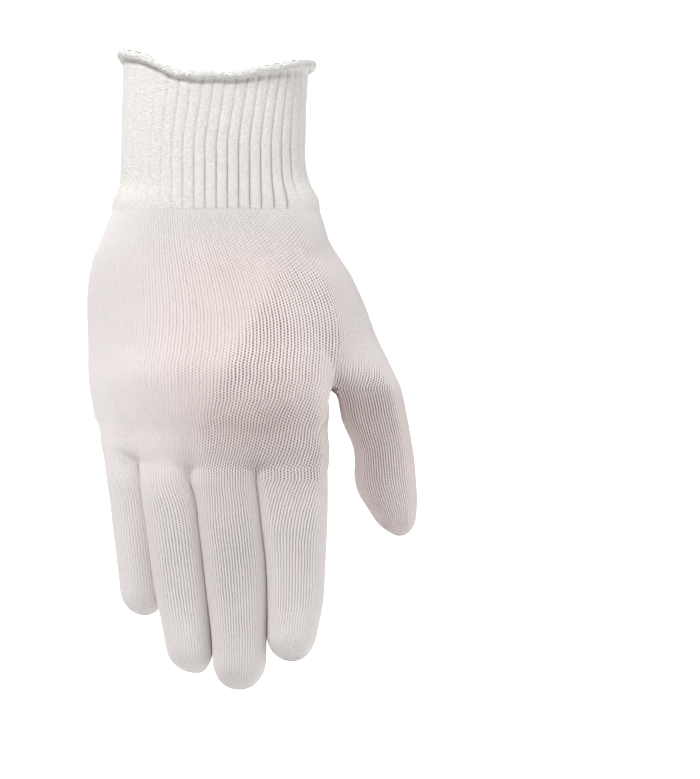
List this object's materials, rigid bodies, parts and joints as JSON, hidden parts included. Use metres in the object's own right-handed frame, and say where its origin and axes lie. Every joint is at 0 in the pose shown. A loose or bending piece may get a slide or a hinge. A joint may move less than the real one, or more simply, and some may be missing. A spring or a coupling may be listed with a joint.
{
  "type": "glove liner",
  "caption": "Thin seamless knitted glove liner for the right hand, shown filled out as worn, with a ribbed elastic cuff and a rolled overlocked edge.",
  "frame": {"origin": "middle of the wrist opening, level with the mean height of the rolled edge", "axes": "+Z out of the wrist opening, so the fingers point to -Z; -Y out of the back of the hand; +X to the thumb's side"},
  "size_m": [0.1304, 0.0547, 0.248],
  "materials": {
    "plain_knit": "matte fine plain knit, off-white",
    "rib_knit": "matte elastic rib knit, off-white",
    "overlock_yarn": "matte wrapped overlock yarn, off-white"
  },
  "bodies": {
    "root": {"cuff_edge": "overlock_yarn", "cuff": "rib_knit", "hand": "plain_knit", "thumb": "plain_knit", "little_finger": "plain_knit", "ring_finger": "plain_knit", "middle_finger": "plain_knit", "index_finger": "plain_knit"}
  },
  "joints": []
}
